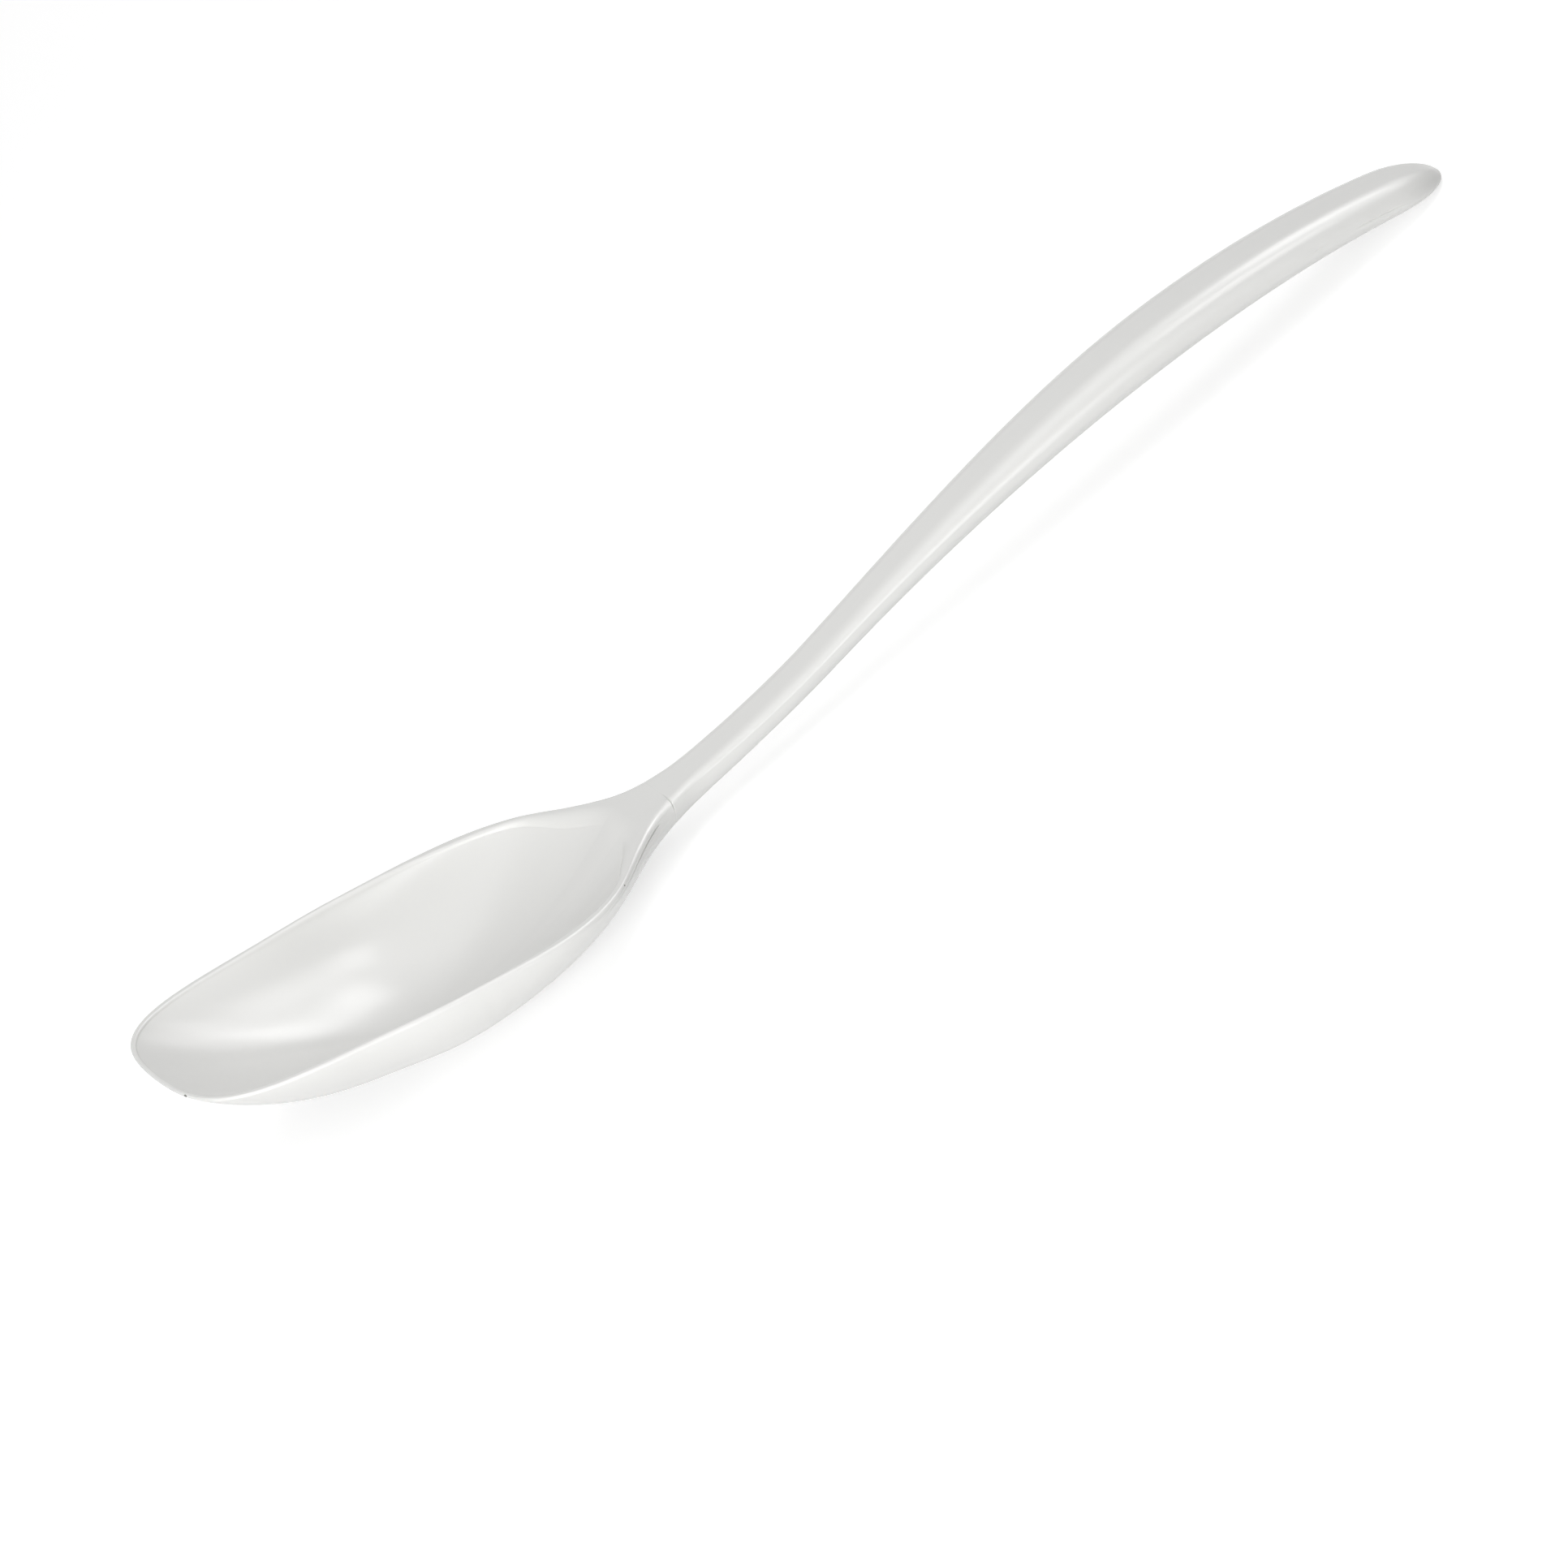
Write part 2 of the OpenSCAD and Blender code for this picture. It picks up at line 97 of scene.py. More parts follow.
# Colours, gloss and the white that the floor shows by itself
PLASTIC_DARK = (0.772, 0.771, 0.754, 1)
PLASTIC_LIGHT = (0.792, 0.791, 0.774, 1)
SPECK_COLOUR = (0.16, 0.155, 0.14, 1)
ROUGH_LEAST, ROUGH_MOST = 0.25, 0.27
WHITE = (1, 1, 1, 1)
FLOOR_COLOUR = (0.8, 0.8, 0.8, 1)
FLOOR_SHADED = (0.6, 0.6, 0.6, 1)
FLOOR_WHITE, FLOOR_HALF = 0.62, 4

# Two specks that the moulding left on the rim, in metres: centre and reach
RIM_DOT = (-0.06139, -0.02363, 0.01184), (0.0003, 0.0003, 0.0003)
FRONT_DASH = (-0.15197, -0.01321, 0.03387), (0.0003, 0.0006, 0.0003)


def clamp01(u):
    """A value held between 0 and 1."""
    return np.clip(u, 0.0, 1.0)


def ease(u):
    """Smooth step from 0 to 1."""
    v = clamp01(u)
    return v * v * (3 - 2 * v)


def mix(a, b, u):
    """a where u is 0 and b where u is 1."""
    return a + (b - a) * u


def bend(x, x0, h0, s0, x1, h1, s1):
    """Smooth curve from height h0 and slope s0 at x0 to height h1 and slope s1 at x1."""
    run = x1 - x0
    t = (x - x0) / run
    return (h0 * (2 * t**3 - 3 * t**2 + 1) + run * s0 * (t**3 - 2 * t**2 + t)
            + h1 * (3 * t**2 - 2 * t**3) + run * s1 * (t**3 - t**2))


def along_handle(x, at_neck, at_grip, at_end):
    """A value that runs from the neck over the grip to the end of the handle."""
    return np.where(x < GRIP_X, mix(at_neck, at_grip, ease((x - NECK_X) / (GRIP_X - NECK_X))),
                    mix(at_grip, at_end, clamp01((x - GRIP_X) / (END_X - GRIP_X)) ** 2))


def half_w(x):
    """Half width at a station, x mm behind the front of the bowl."""
    handle = along_handle(x, NECK_W / 2, GRIP_W / 2, END_W / 2)
    share = clamp01((x - WIDEST_X) / (SHOULDER_X - WIDEST_X))
    return handle + (BOWL_W / 2 - handle) * (1 - share**SHOULDER_FALL) ** SHOULDER_TAIL


def rise(x):
    """Height of the spoon's line above the plane of the rim."""
    bow = (6 * (RISE_MID_H - CREST_H) + 2 * CREST_RUN * RISE_SLOPE) / CREST_RUN**2
    return np.where(x < RISE_X, 0.0, np.where(
        x < MID_X, bend(x, RISE_X, 0, 0, MID_X, RISE_MID_H, RISE_SLOPE), np.where(
            x < CREST_X, bend(x, MID_X, RISE_MID_H, RISE_SLOPE, CREST_X, CREST_H, 0),
            CREST_H + bow / 2 * (x - CREST_X) ** 2)))


def swell(x):
    """0 on the bowl, growing to 1 at the neck."""
    return ease((x - SWELL_X) / (NECK_X - SWELL_X))


def edge_h(x):
    """Height of the side edge, where a section is widest."""
    return rise(x) - RIM_R * (1 - swell(x))


def up(x):
    """How far a section reaches above its side edge."""
    return mix(RIM_R, along_handle(x, NECK_UP, GRIP_UP, GRIP_UP * END_UP), swell(x))


def down(x):
    """How far a section reaches below its side edge."""
    handle = along_handle(x, NECK_DOWN, GRIP_DOWN, GRIP_DOWN * END_DOWN)
    share = clamp01((x - WIDEST_X) / (KEEL_X - WIDEST_X))
    return handle + (BOWL_DEPTH - RIM_R - handle) * (1 - share**2) ** KEEL_TAIL


def full(x):
    """Power of the underside's curve: the smaller it is, the fuller the section."""
    return np.where(
        x < FULL_SHOULDER_X,
        mix(FULL_SIDE, FULL_SHOULDER, ease((x - WIDEST_X) / (FULL_SHOULDER_X - WIDEST_X))),
        mix(FULL_SHOULDER, FULL_HANDLE, ease((x - FULL_SHOULDER_X) / (FULL_HANDLE_X - FULL_SHOULDER_X))))


def edge_w(x):
    """Width of the rounded top edge."""
    return mix(RIM_R, half_w(x) * EDGE_FLAT, swell(x))


def crease(x):
    """Depth of the fold under the neck's side edge."""
    far = np.abs(x - mix(WIDEST_X, SEAM_X, CREASE_MID)) / (SEAM_L * CREASE_SPAN)
    return CREASE_D * (1 - ease(far))


def top_h(x, y):
    """Height of the top, without the basin."""
    half = half_w(np.maximum(x, WIDEST_X))
    share = clamp01((half - np.abs(y)) / edge_w(x))
    dome = DOME * swell(x)
    rounded = np.sqrt(1 - (1 - share) ** 2)
    crown = 1 - clamp01(np.abs(y) / half) ** 2
    return edge_h(x) + up(x) * ((1 - dome) * rounded + dome * crown)


def points(x, y, z):
    """One row of points from coordinates of any shapes that fit together."""
    return np.stack(np.broadcast_arrays(x, y, z), -1).astype(float)


def under_pt(x, turn, side, shrink=1.0):
    """Underside at a station: turn 0 is the side edge, a quarter turn is the keel."""
    fold = crease(x) * np.minimum(1, turn / (math.pi / 2 * CREASE_TURN)) * np.cos(turn)
    return points(x, side * (half_w(x) * np.cos(turn) - fold) * shrink,
                  edge_h(x) - down(x) * np.sin(turn) ** (2 * full(x)) * shrink)


def edge_pt(x, turn, side, shrink=1.0):
    """Rounded top edge at a station: turn 0 is the side edge."""
    y = half_w(x) - edge_w(x) * (1 - np.cos(turn))
    return points(x, side * y * shrink, mix(edge_h(x), top_h(x, y), shrink))


def seam_mark(x, y, across):
    """Hairline at the seam, open on the near rounded edge, where across is 1, and faint elsewhere."""
    share = mix(SEAM_FAINT, 1, clamp01(across) * (y < 0))
    return SEAM_DEPTH * clamp01(1 - np.abs(x - SEAM_X) / SEAM_HALF) * share


def fold_mark(x, turn):
    """Sharp line at the bottom of the crease under the neck's side edge."""
    start = ease((x - FOLD_START_X) / FOLD_START_RUN)
    deep = mix(FOLD_SHALLOW, 1, ease((x - FOLD_DEEP_X) / FOLD_DEEP_RUN))
    end = ease((FOLD_END_X - x) / FOLD_END_RUN)
    pitch = 2 * full(x) * down(x) * math.sin(FOLD_TURN) ** (2 * full(x) - 1) * math.cos(FOLD_TURN)
    nearness = clamp01(1 - np.abs(turn - FOLD_TURN) * pitch / FOLD_HALF)
    return FOLD_DEPTH * (end * deep * start) * nearness


def parting_mark(x, off):
    """Mould's parting line along the side edge, in two short runs near the end of the handle."""
    along = sum(ease((x - END_X - start) / PARTING_FADE) * ease((END_X + end - x) / PARTING_FADE)
                for start, end in PARTING_RUNS)
    return PARTING_DEPTH * along * clamp01(1 - off / PARTING_HALF)


def draw_bead(pts, amount):
    """Bring the rim's rounded edge in a little where it runs into the neck."""
    x = pts[:, 0]
    here = amount * ease((x - BEAD_START_X) / BEAD_RUN) * (1 - ease((x - BEAD_END_X) / BEAD_RUN))
    return pts - np.stack([0 * x, np.sign(pts[:, 1]) * BEAD_IN * here, 0 * x], -1)


def carve(pts, depth):
    """Move points towards the middle of their section."""
    arm = np.stack([np.zeros(len(pts)), -pts[:, 1], middle_h(pts[:, 0]) - pts[:, 2]], -1)
    size = np.maximum(np.linalg.norm(arm, axis=1), LEAST_ARM)
    return pts + arm * (depth / size)[:, None]


def under_marked(x, turn, side, shrink=1.0):
    """Underside with its fine marks."""
    pts = draw_bead(under_pt(x, turn, side, shrink), 1 - ease(turn / BEAD_TURN))
    xs = pts[:, 0]
    drop = down(xs) * np.sin(turn) ** (2 * full(xs))
    seam = seam_mark(xs, pts[:, 1], 1 - turn / SEAM_TURN)
    return carve(pts, seam + fold_mark(xs, turn) + parting_mark(xs, drop))


def edge_marked(x, turn, side, shrink=1.0):
    """Rounded top edge with its fine marks."""
    pts = draw_bead(edge_pt(x, turn, side, shrink), 1.0)
    xs = pts[:, 0]
    return carve(pts, seam_mark(xs, pts[:, 1], 1.0) + parting_mark(xs, up(xs) * np.sin(turn)))


def oval_r(turn, a, b, square):
    """Reach of a squared oval, a long where the sine is 1 and b where the cosine is 1."""
    along = (np.abs(np.sin(turn)) / a) ** square
    across = (np.abs(np.cos(turn)) / b) ** square
    return 1 / (along + across) ** (1 / square)


def draw_in(turn):
    """Share by which the front's corners are drawn in."""
    return 1 - FRONT_TAPER * np.sin(2 * turn) ** 2


def front_r(turn):
    """Reach of the outline from the widest place, over the front half."""
    return oval_r(turn, FRONT_L, BOWL_W / 2, FRONT_SQUARE) * draw_in(turn)


def front_full(turn):
    """Power of the underside's curve, over the front half."""
    return mix(FULL_SIDE, FULL_FRONT, ease(1 - np.abs(turn - math.pi / 2) / (math.pi / 2)))


def rim_r_at(turn):
    """Radius of the rim's rounding, over the front half."""
    return mix(RIM_T, RIM_FRONT_T, np.sin(turn) ** 2) * RIM_ROUND


def front_pt(turn, reach, height):
    """Points around the widest place: turn 0 is the near side and a quarter turn is the front."""
    return points(WIDEST_X - reach * np.sin(turn), -reach * np.cos(turn), height)


def front_under(turn, dip):
    """Underside of the front: dip 0 is the side edge and a quarter turn is the lowest point."""
    rim_r = rim_r_at(turn)
    fall = (BOWL_DEPTH - rim_r) * np.sin(dip) ** (2 * front_full(turn))
    return front_pt(turn, front_r(turn) * np.cos(dip), -rim_r - fall)


def front_edge(turn, lift):
    """Rounded top edge of the front: lift 0 is the side edge."""
    rim_r = rim_r_at(turn)
    return front_pt(turn, front_r(turn) - rim_r * (1 - np.cos(lift)), -rim_r * (1 - np.sin(lift)))


def basin_r(heading):
    """Reach of the basin's wall: heading 0 is the near side and a quarter turn is the front."""
    front = oval_r(heading, FRONT_L - RIM_FRONT_T, BOWL_W / 2 - RIM_T, FRONT_SQUARE) * draw_in(heading)
    rear = oval_r(heading, BASIN_REAR_L, BOWL_W / 2 - RIM_T, BASIN_SQUARE)
    return np.where(np.sin(heading) > 0, front, rear)


def basin_full(heading):
    """Power of the basin's curve."""
    rear = mix(FULL_SIDE, FULL_REAR_BASIN, ease(-np.sin(heading)))
    return FULL_INSIDE * np.where(np.sin(heading) > 0, front_full(heading), rear)


def rear_part(heading):
    """1 at the rear of the basin and 0 along its sides and front."""
    return clamp01(-np.sin(heading)) ** LIP_TAIL


def lip_r(heading):
    """Radius of the rounding between the rim's top and the basin."""
    return np.where(np.sin(heading) > 0, rim_r_at(heading), mix(RIM_R, BASIN_EDGE_R, rear_part(heading)))


def lip_turn(heading):
    """Turn at which that rounding meets the wall of the basin."""
    rear_turn = math.atan(2 * (BOWL_DEPTH - FLOOR_T) / BASIN_REAR_L)
    return mix(math.pi / 2, rear_turn, rear_part(heading))


def lip_in(heading, turn):
    """How far that rounding still is from the wall at a turn."""
    return lip_r(heading) * (np.sin(lip_turn(heading)) - np.sin(turn))


def lip_fall(heading, turn):
    """How far that rounding has fallen below the rim's top at a turn."""
    return lip_r(heading) * (1 - np.cos(turn))


def middle_h(x):
    """Height of the middle of a section."""
    return edge_h(x) + (up(x) - down(x)) / 2


TANG_SLOPE = math.atan(float(middle_h(SEAM_X + TANG_L) - middle_h(SEAM_X)) / TANG_L)


class Skin:
    """Points and faces of one closed surface."""

    def __init__(self):
        self.rows, self.faces, self.count = [], [], 0

    def row(self, pts):
        """Add points and return their numbers."""
        pts = np.asarray(pts, float).reshape(-1, 3)
        self.rows.append(pts)
        self.count += len(pts)
        return np.arange(self.count - len(pts), self.count)

    def strip(self, a, b, closed=False):
        """Join two rows of points by quads, or by triangles where they share a point."""
        n = len(a) if closed else len(a) - 1
        for i in range(n):
            j = (i + 1) % len(a)
            quad = []
            for v in (a[i], b[i], b[j], a[j]):
                if int(v) not in quad:
                    quad.append(int(v))
            if len(quad) > 2:
                self.faces.append(quad)

    def fan(self, ring, centre):
        """Close a ring with triangles to one point."""
        for i in range(len(ring)):
            self.faces.append([int(ring[i]), int(ring[(i + 1) % len(ring)]), int(centre)])

    def pts(self):
        """All points so far."""
        return np.concatenate(self.rows)


def spread(n, fine):
    """Turns from 0 to a quarter turn, with extra ones close to the side edge."""
    return np.unique(np.concatenate([np.radians(fine), np.linspace(0, math.pi / 2, n + 1)]))


UNDER = spread(UNDER_N, FINE_UNDER)
EDGE = spread(EDGE_N, FINE_EDGE)


def tang_loop(ring, run, room):
    """Rounded bar outline, one point for each point of the ring, at a run from the seam."""
    mid = float(middle_h(SEAM_X))
    turn = np.arctan2(ring[:, 2] - mid, ring[:, 1])
    a, b = TANG_W / 2 + room, TANG_T / 2 + room
    reach = oval_r(turn, b, a, TANG_SQUARE)
    across, above = reach * np.cos(turn), reach * np.sin(turn)
    if run == 0:
        return points(SEAM_X, across, mid + above / math.cos(TANG_SLOPE))
    return points(SEAM_X + run * math.cos(TANG_SLOPE) - above * math.sin(TANG_SLOPE), across,
                  mid + run * math.sin(TANG_SLOPE) + above * math.cos(TANG_SLOPE))


def bowl_skin():
    """The bowl's closed surface, with its basin and its tang."""
    skin = Skin()
    rear = np.unique(np.concatenate([np.linspace(WIDEST_X, SEAM_X, REAR_N), SEAM_X - NEAR_SEAM]))
    fronts = np.linspace(0, math.pi, FRONT_N)
    rear_n = len(rear)
    rib_n = 2 * (rear_n - 1) + len(fronts)

    def whole(side_fn, front_fn, turn):
        near, far = side_fn(rear[:0:-1], turn, -1), side_fn(rear[1:], turn, 1)
        return np.concatenate([near, front_fn(fronts, turn), far])

    under = [skin.row(whole(under_marked, front_under, turn)) for turn in UNDER[:-1]]
    keel = skin.row(under_pt(rear[::-1], math.pi / 2, 0))
    rib_i = np.arange(rib_n)
    under.append(keel[np.minimum(np.minimum(rib_i, rib_n - 1 - rib_i), rear_n - 1)])
    edge = [under[0]] + [skin.row(whole(edge_marked, front_edge, turn)) for turn in EDGE[1:]]
    for a, b in zip(under, under[1:]):
        skin.strip(a, b)
    for a, b in zip(edge, edge[1:]):
        skin.strip(b, a)

    seam_half = float(half_w(SEAM_X) - edge_w(SEAM_X))
    tops = seam_half * np.arange(TOP_N - 1, -TOP_N, -1) / TOP_N
    seam = skin.row(draw_bead(points(SEAM_X, tops, top_h(SEAM_X, tops)), np.abs(tops) / seam_half))
    outer_i = np.concatenate([edge[-1], seam])
    pts = skin.pts()
    outer = pts[outer_i]
    heading = np.arctan2(WIDEST_X - outer[:, 0], -outer[:, 1])
    reach = np.hypot(outer[:, 0] - WIDEST_X, outer[:, 1])
    limit = reach - lip_in(heading, 0) - RIM_FLAT
    soft = CORNER_SOFT * clamp01(-np.sin(heading)) ** CORNER_TAIL
    wall = (basin_r(heading) + limit - np.hypot(basin_r(heading) - limit, soft)) / 2

    def polar(away):
        return WIDEST_X - away * np.sin(heading), -away * np.cos(heading)

    loops = [outer_i]
    lip_x, lip_y = polar(wall + lip_in(heading, 0))
    for share in LAND:
        x, y = mix(outer[:, 0], lip_x, share), mix(outer[:, 1], lip_y, share)
        loops.append(skin.row(points(x, y, top_h(x, y))))
    for step in range(1, LIP_N + 1):
        turn = lip_turn(heading) * step / LIP_N
        x, y = polar(wall + lip_in(heading, turn))
        loops.append(skin.row(points(x, y, top_h(x, y) - lip_fall(heading, turn))))
    brink_x, brink_y = polar(wall)
    brink = top_h(brink_x, brink_y) - lip_fall(heading, lip_turn(heading))
    low = FLOOR_T - BOWL_DEPTH
    for turn in np.linspace(math.pi / 2, 0, BASIN_N + 1)[1:-1]:
        x, y = polar(wall * np.sin(turn))
        loops.append(skin.row(points(x, y, mix(brink, low, np.cos(turn) ** (2 * basin_full(heading))))))
    for a, b in zip(loops, loops[1:]):
        skin.strip(b, a, closed=True)
    skin.fan(loops[-1], skin.row([[WIDEST_X, 0, low]])[0])

    ring = np.concatenate([[e[0] for e in edge[1:]], seam[::-1], [e[-1] for e in edge[:0:-1]],
                           [u[-1] for u in under], [u[0] for u in under[-2::-1]]])
    pts = skin.pts()
    last = ring
    for run, room in ((0, 0.0), (TANG_L - TANG_BEVEL, 0.0), (TANG_L, -TANG_BEVEL)):
        loop = skin.row(tang_loop(pts[ring], run, room))
        skin.strip(loop, last, closed=True)
        last = loop
    end = tang_loop(pts[ring], TANG_L, -TANG_BEVEL).mean(0)
    skin.fan(last, skin.row([end])[0])
    return skin


def handle_skin():
    """The handle's closed surface, with the socket for the tang."""
    skin = Skin()
    start = END_X - END_ROUND_L
    places = np.unique(np.concatenate([SEAM_X + NEAR_SEAM, np.linspace(SEAM_X, start, HANDLE_N)]))
    stations = [(x, 1.0) for x in places]
    for turn in np.radians(np.linspace(0, 90, END_N)[1:-1]):
        shrink = math.sqrt(1 - math.sin(turn) ** END_SQUARE)
        stations.append((start + END_ROUND_L * math.sin(turn), shrink))

    def ring(x, shrink):
        y = (half_w(x) - edge_w(x)) * np.arange(TOP_N - 1, -TOP_N, -1) / TOP_N
        top = points(x, y * shrink, mix(edge_h(x), top_h(x, y), shrink))
        top = draw_bead(top, np.abs(y) / (half_w(x) - edge_w(x)))
        across = 1 - (half_w(x) - edge_w(x) - np.abs(y)) / SEAM_TOP_RUN
        return np.concatenate([
            under_marked(x, UNDER, -1, shrink), under_marked(x, UNDER[-2::-1], 1, shrink),
            edge_marked(x, EDGE[1:], 1, shrink), carve(top, seam_mark(top[:, 0], top[:, 1], across)),
            edge_marked(x, EDGE[:0:-1], -1, shrink)])

    rings = [skin.row(ring(x, shrink)) for x, shrink in stations]
    for a, b in zip(rings, rings[1:]):
        skin.strip(a, b, closed=True)
    tip = skin.row([[END_X, 0, float(edge_h(END_X))]])[0]
    skin.fan(rings[-1][::-1], tip)
    pts = skin.pts()
    last = rings[0]
    for run in (0, TANG_L + TANG_CLEAR):
        loop = skin.row(tang_loop(pts[rings[0]], run, TANG_CLEAR))
        skin.strip(loop, last, closed=True)
        last = loop
    end = tang_loop(pts[rings[0]], TANG_L + TANG_CLEAR, TANG_CLEAR).mean(0)
    skin.fan(last, skin.row([end])[0])
    return skin


def rest_pose(*clouds):
    """Tilt and shift that lay the spoon on the bowl's underside and the handle's end."""
    xs = np.linspace(WIDEST_X, SEAM_X, LOW_N)
    dips = np.linspace(0, math.pi / 2, LOW_N)
    front = front_under(math.pi / 2, dips)
    low = np.concatenate([points(xs, 0, edge_h(xs) - down(xs)), front])
    handle = clouds[1]
    tail = handle[(handle[:, 0] > CREST_X - CREST_RUN / 2) & (np.abs(handle[:, 1]) < MIDLINE)]
    slopes = [((e[2] - low[:, 2]) / (e[0] - low[:, 0])).max() for e in tail]
    tilt = math.atan(min(slopes))
    c, s = math.cos(tilt), math.sin(tilt)
    laid = [np.stack([p[:, 0] * c + p[:, 2] * s, p[:, 1], p[:, 2] * c - p[:, 0] * s], -1)
            for p in clouds]
    both = np.concatenate(laid)
    shift = np.array([(both[:, 0].min() + both[:, 0].max()) / 2, 0.0, both[:, 2].min()])
    return [p - shift for p in laid]


def add_piece(name, skin, laid, node, material):
    """Make one visible piece, which rides the root body in place of its CAD node."""
    mesh = bpy.data.meshes.new(name)
    mesh.from_pydata((laid * MM).tolist(), [], [face[::-1] for face in skin.faces])
    mesh.validate()
    mesh.update()
    piece = bpy.data.objects.new(name, mesh)
    bpy.context.scene.collection.objects.link(piece)
    mesh.shade_smooth()
    mesh.set_sharp_from_angle(angle=SHARP_TURN)
    mesh.materials.append(material)
    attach(piece, "root")
    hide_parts(node)


def new_material(name):
    """Empty node material, with its nodes and links."""
    material = bpy.data.materials.new(name)
    material.use_nodes = True
    nodes = material.node_tree.nodes
    nodes.clear()
    return material, nodes, material.node_tree.links


def speck(nodes, links, place, centre, reach):
    """1 inside a tiny spot of the surface and 0 elsewhere; centre and reach in metres."""
    off = nodes.new("ShaderNodeVectorMath")
    off.operation = "SUBTRACT"
    off.inputs[1].default_value = centre
    share = nodes.new("ShaderNodeVectorMath")
    share.operation = "DIVIDE"
    share.inputs[1].default_value = reach
    far = nodes.new("ShaderNodeVectorMath")
    far.operation = "LENGTH"
    inside = nodes.new("ShaderNodeMapRange")
    inside.inputs["From Min"].default_value = 0.7
    inside.inputs["From Max"].default_value = 1.0
    inside.inputs["To Min"].default_value = 1.0
    inside.inputs["To Max"].default_value = 0.0
    links.new(place.outputs["Object"], off.inputs[0])
    links.new(off.outputs["Vector"], share.inputs[0])
    links.new(share.outputs["Vector"], far.inputs[0])
    links.new(far.outputs["Value"], inside.inputs["Value"])
    return inside.outputs["Result"]


def plastic():
    """Glossy white moulded plastic with a faint unevenness of tone, gloss and surface."""
    material, nodes, links = new_material("white_plastic")
    out = nodes.new("ShaderNodeOutputMaterial")
    bsdf = nodes.new("ShaderNodeBsdfPrincipled")
    bsdf.inputs["IOR"].default_value = 1.65
    place = nodes.new("ShaderNodeTexCoord")
    cloud = nodes.new("ShaderNodeTexNoise")
    cloud.inputs["Scale"].default_value = 28.0
    cloud.inputs["Detail"].default_value = 3.0
    tone = nodes.new("ShaderNodeMix")
    tone.data_type = "RGBA"
    tone.inputs["A"].default_value = PLASTIC_DARK
    tone.inputs["B"].default_value = PLASTIC_LIGHT
    gloss = nodes.new("ShaderNodeMapRange")
    gloss.inputs["To Min"].default_value = ROUGH_LEAST
    gloss.inputs["To Max"].default_value = ROUGH_MOST
    peel = nodes.new("ShaderNodeTexNoise")
    peel.inputs["Scale"].default_value = 700.0
    peel.inputs["Detail"].default_value = 2.0
    bump = nodes.new("ShaderNodeBump")
    bump.inputs["Strength"].default_value = 0.05
    bump.inputs["Distance"].default_value = 0.00004
    links.new(place.outputs["Object"], cloud.inputs["Vector"])
    links.new(place.outputs["Object"], peel.inputs["Vector"])
    links.new(cloud.outputs["Fac"], tone.inputs["Factor"])
    links.new(cloud.outputs["Fac"], gloss.inputs["Value"])
    links.new(peel.outputs["Fac"], bump.inputs["Height"])
    spots = nodes.new("ShaderNodeMath")
    spots.operation = "MAXIMUM"
    links.new(speck(nodes, links, place, *RIM_DOT), spots.inputs[0])
    links.new(speck(nodes, links, place, *FRONT_DASH), spots.inputs[1])
    marked = nodes.new("ShaderNodeMix")
    marked.data_type = "RGBA"
    marked.inputs["B"].default_value = SPECK_COLOUR
    links.new(spots.outputs[0], marked.inputs["Factor"])
    links.new(tone.outputs["Result"], marked.inputs["A"])
    links.new(marked.outputs["Result"], bsdf.inputs["Base Color"])
    links.new(gloss.outputs["Result"], bsdf.inputs["Roughness"])
    links.new(bump.outputs["Normal"], bsdf.inputs["Normal"])
    links.new(bsdf.outputs["BSDF"], out.inputs["Surface"])
    return material


def shown_ray(nodes, links):
    """1 for what the camera sees directly, in a reflection or through glass."""
    path = nodes.new("ShaderNodeLightPath")
    first = nodes.new("ShaderNodeMath")
    first.operation = "MAXIMUM"
    both = nodes.new("ShaderNodeMath")
    both.operation = "MAXIMUM"
    links.new(path.outputs["Is Camera Ray"], first.inputs[0])
    links.new(path.outputs["Is Glossy Ray"], first.inputs[1])
    links.new(first.outputs[0], both.inputs[0])
    links.new(path.outputs["Is Transmission Ray"], both.inputs[1])
    return both.outputs[0]


def floor_material():
    """Pale floor: plain for bounced light, and white with the spoon's soft shadow where it is seen."""
    material, nodes, links = new_material("floor")
    out = nodes.new("ShaderNodeOutputMaterial")
    plain = nodes.new("ShaderNodeBsdfDiffuse")
    plain.inputs["Color"].default_value = FLOOR_COLOUR
    shaded = nodes.new("ShaderNodeBsdfDiffuse")
    shaded.inputs["Color"].default_value = FLOOR_SHADED
    white = nodes.new("ShaderNodeEmission")
    white.inputs["Color"].default_value = WHITE
    white.inputs["Strength"].default_value = FLOOR_WHITE
    add = nodes.new("ShaderNodeAddShader")
    pick = nodes.new("ShaderNodeMixShader")
    links.new(shaded.outputs[0], add.inputs[0])
    links.new(white.outputs[0], add.inputs[1])
    links.new(shown_ray(nodes, links), pick.inputs["Fac"])
    links.new(plain.outputs[0], pick.inputs[1])
    links.new(add.outputs[0], pick.inputs[2])
    links.new(pick.outputs[0], out.inputs["Surface"])
    return material


def make_world():
    """White where it is seen and dark to all else, so that only the soft boxes light the spoon."""
    world = bpy.data.worlds.new("studio")
    bpy.context.scene.world = world
    world.use_nodes = True
    nodes, links = world.node_tree.nodes, world.node_tree.links
    nodes.clear()
    out = nodes.new("ShaderNodeOutputWorld")
    white = nodes.new("ShaderNodeBackground")
    white.inputs["Color"].default_value = WHITE
    white.inputs["Strength"].default_value = 1.0
    dark = nodes.new("ShaderNodeBackground")
    dark.inputs["Strength"].default_value = 0.0
    pick = nodes.new("ShaderNodeMixShader")
    links.new(shown_ray(nodes, links), pick.inputs["Fac"])
    links.new(dark.outputs[0], pick.inputs[1])
    links.new(white.outputs[0], pick.inputs[2])
    links.new(pick.outputs[0], out.inputs["Surface"])


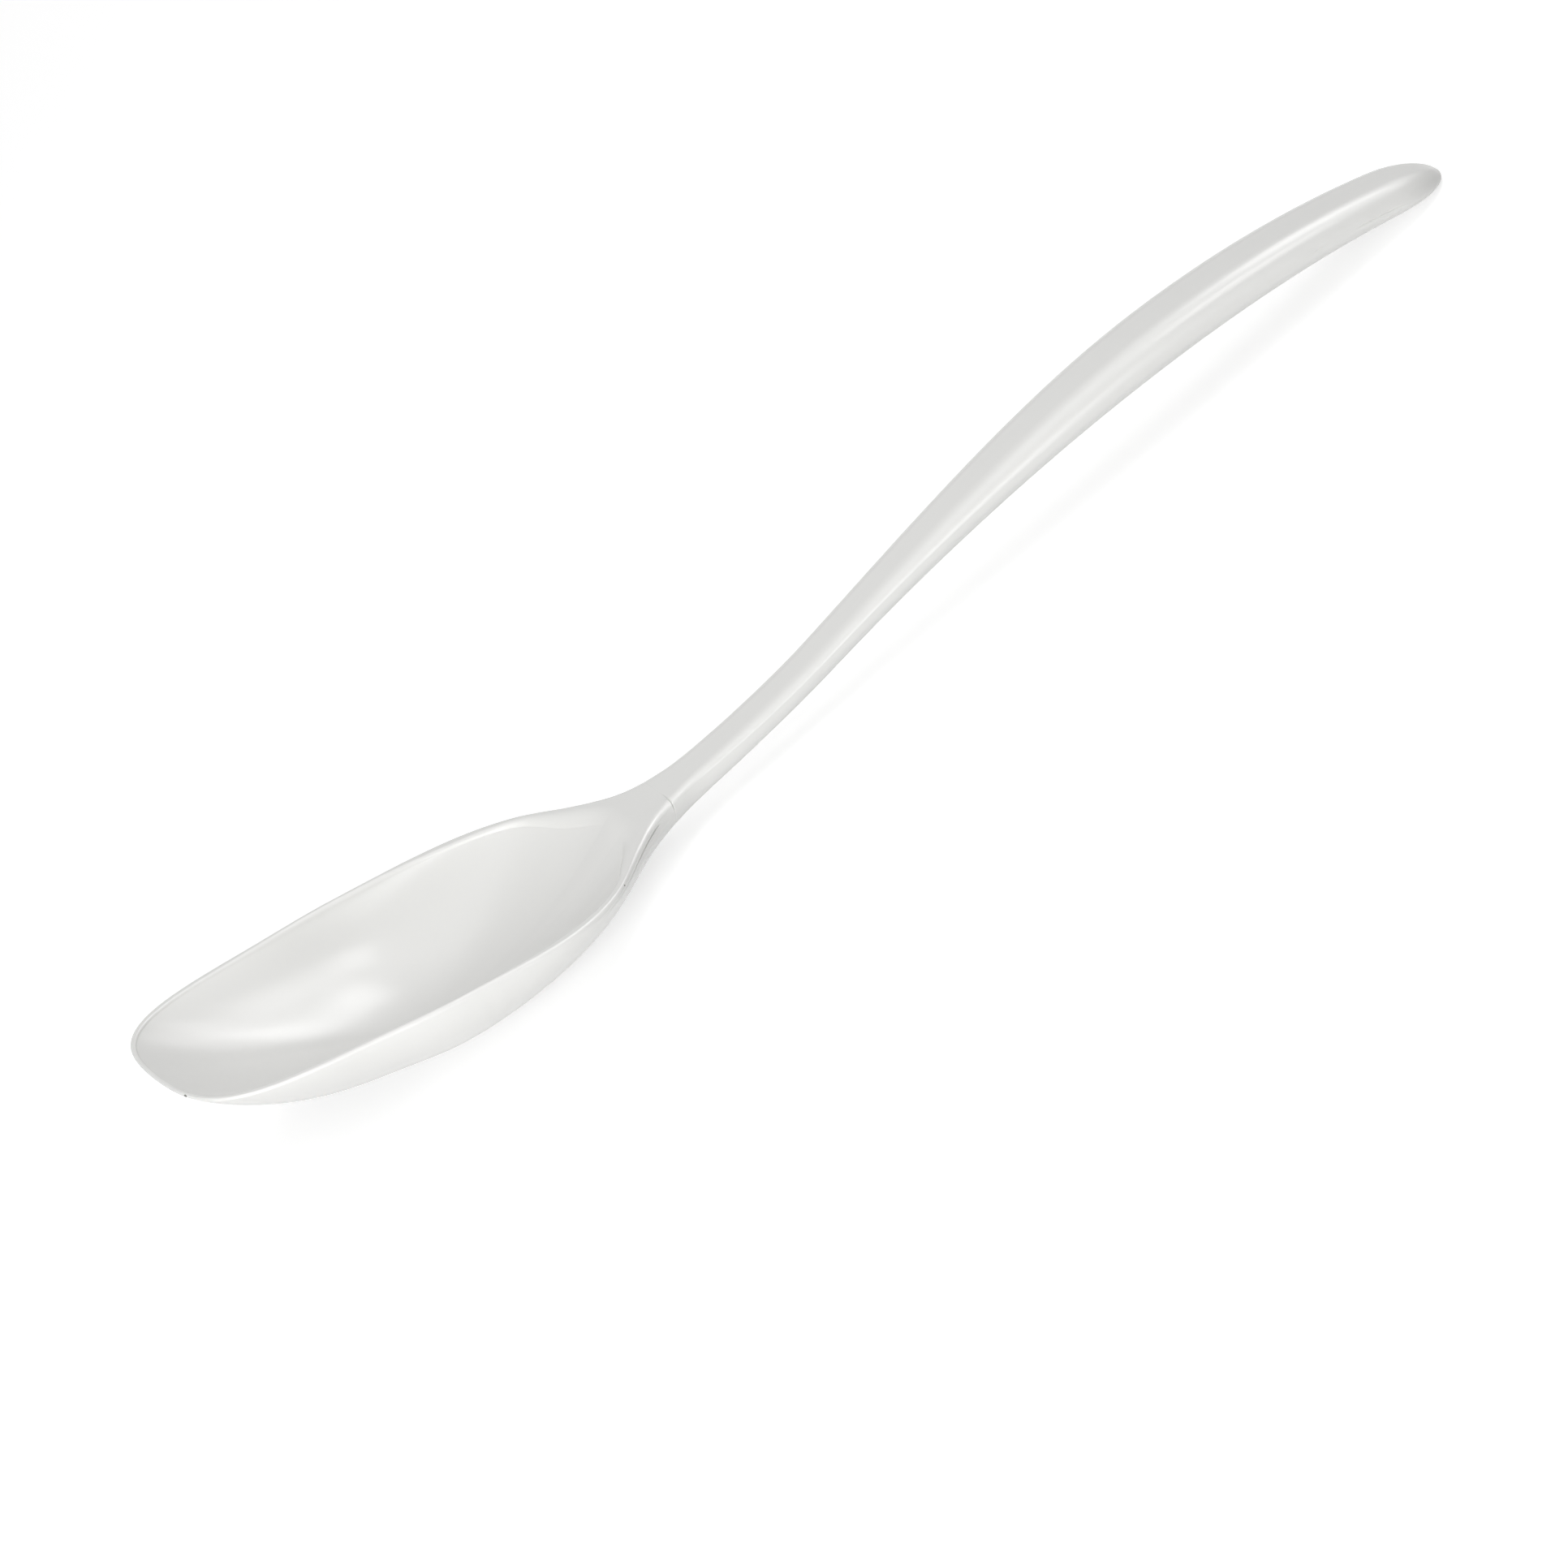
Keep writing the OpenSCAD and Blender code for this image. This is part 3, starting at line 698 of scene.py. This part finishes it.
# Camera in the row frame, in metres: place, sight line, up direction
CAM_AT = Vector((-0.609559, -3.738396, 2.022058))
CAM_SIGHT = Vector((0.13697476, 0.87061318, -0.4725152))
CAM_UP = Vector((0.64756948, 0.28226665, 0.70779891))
CAM_RIGHT = CAM_SIGHT.cross(CAM_UP).normalized()
CAM_LENS = 511.883


def make_camera():
    """Perspective camera that was fitted to the photograph's outline."""
    data = bpy.data.cameras.new("camera")
    data.sensor_width = 36.0
    data.sensor_fit = "HORIZONTAL"
    data.lens = CAM_LENS
    data.clip_start = 0.05
    data.clip_end = 50.0
    cam = bpy.data.objects.new("camera", data)
    bpy.context.scene.collection.objects.link(cam)
    back = -CAM_SIGHT.normalized()
    side = CAM_UP.cross(back).normalized()
    top = back.cross(side)
    turn = Matrix((side, top, back)).transposed()
    cam.matrix_world = Matrix.Translation(CAM_AT) @ turn.to_4x4()
    bpy.context.scene.camera = cam


# Soft boxes: name, metres to the camera's right, above and towards it, side in metres, power in watts
LAMP_AIM = (0.0, 0.0, 0.015)
SOFT_BOXES = (
    ("top_left_box", -0.45, 1.1, 0.05, 0.45, 0.43),
    ("top_back_box", 0, 1.1, -0.45, 0.45, 0.89),
    ("low_box", 0.2, -0.45, 1.8, 0.8, 6.98),
    ("right_low_box", 0.75, -0.2, 1.5, 0.7, 0.55),
    ("low_left_box", -0.9, -0.9, 1.0, 0.8, 4.71),
    ("front_box", 0, 0.2, 1.9, 1.0, 5.46),
    ("top_front_box", -0.1, 1.1, 0.5, 0.4, 1.76),
    ("near_high_box", -0.5, 0.8, 0.3, 0.5, 0.42),
    ("top_mid_box", 0, 1.2, 0.0, 0.5, 1.83),
    ("near_down_box", -0.3, -0.35, 0.75, 0.4, 2.49),
    ("near_side_box", -0.5, 0.1, 0.45, 0.35, 1.13),
    ("top_rear_box", -0.2, 1.1, -0.2, 0.3, 1.05),
    ("top_rear_left_box", -0.35, 1.0, -0.35, 0.35, 0.18),
    ("top_wide_left_box", -0.5, 1.1, 0.1, 0.9, 0.89),
)


def soft_light(name, right, above, toward, side, power):
    """Square soft box, placed from the object by distances along the camera's own directions."""
    data = bpy.data.lights.new(name, "AREA")
    data.shape = "RECTANGLE"
    data.size, data.size_y = side, side
    data.energy = power
    lamp = bpy.data.objects.new(name, data)
    bpy.context.scene.collection.objects.link(lamp)
    aim = Vector(LAMP_AIM)
    at = aim + CAM_RIGHT * right + CAM_UP * above - CAM_SIGHT * toward
    lamp.location = at
    lamp.rotation_euler = (aim - at).to_track_quat("-Z", "Y").to_euler()


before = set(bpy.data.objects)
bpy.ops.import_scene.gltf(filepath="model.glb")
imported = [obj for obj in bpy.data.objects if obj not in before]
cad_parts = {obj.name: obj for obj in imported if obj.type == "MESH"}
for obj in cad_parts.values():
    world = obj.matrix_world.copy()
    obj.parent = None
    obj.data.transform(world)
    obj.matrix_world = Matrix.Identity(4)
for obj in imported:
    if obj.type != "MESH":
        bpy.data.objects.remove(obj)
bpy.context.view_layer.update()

make_camera()
white_plastic = plastic()
bowl_surface, handle_surface = bowl_skin(), handle_skin()
bowl_laid, handle_laid = rest_pose(bowl_surface.pts(), handle_surface.pts())
add_piece("bowl_skin", bowl_surface, bowl_laid, "bowl", white_plastic)
add_piece("handle_skin", handle_surface, handle_laid, "handle", white_plastic)

floor_mesh = bpy.data.meshes.new("floor")
corners = [(x * FLOOR_HALF, y * FLOOR_HALF, 0) for x, y in ((-1, -1), (1, -1), (1, 1), (-1, 1))]
floor_mesh.from_pydata(corners, [], [(0, 1, 2, 3)])
floor_mesh.materials.append(floor_material())
floor = bpy.data.objects.new("floor", floor_mesh)
bpy.context.scene.collection.objects.link(floor)

make_world()
for soft_box in SOFT_BOXES:
    soft_light(*soft_box)

bpy.context.scene.view_settings.view_transform = "Standard"
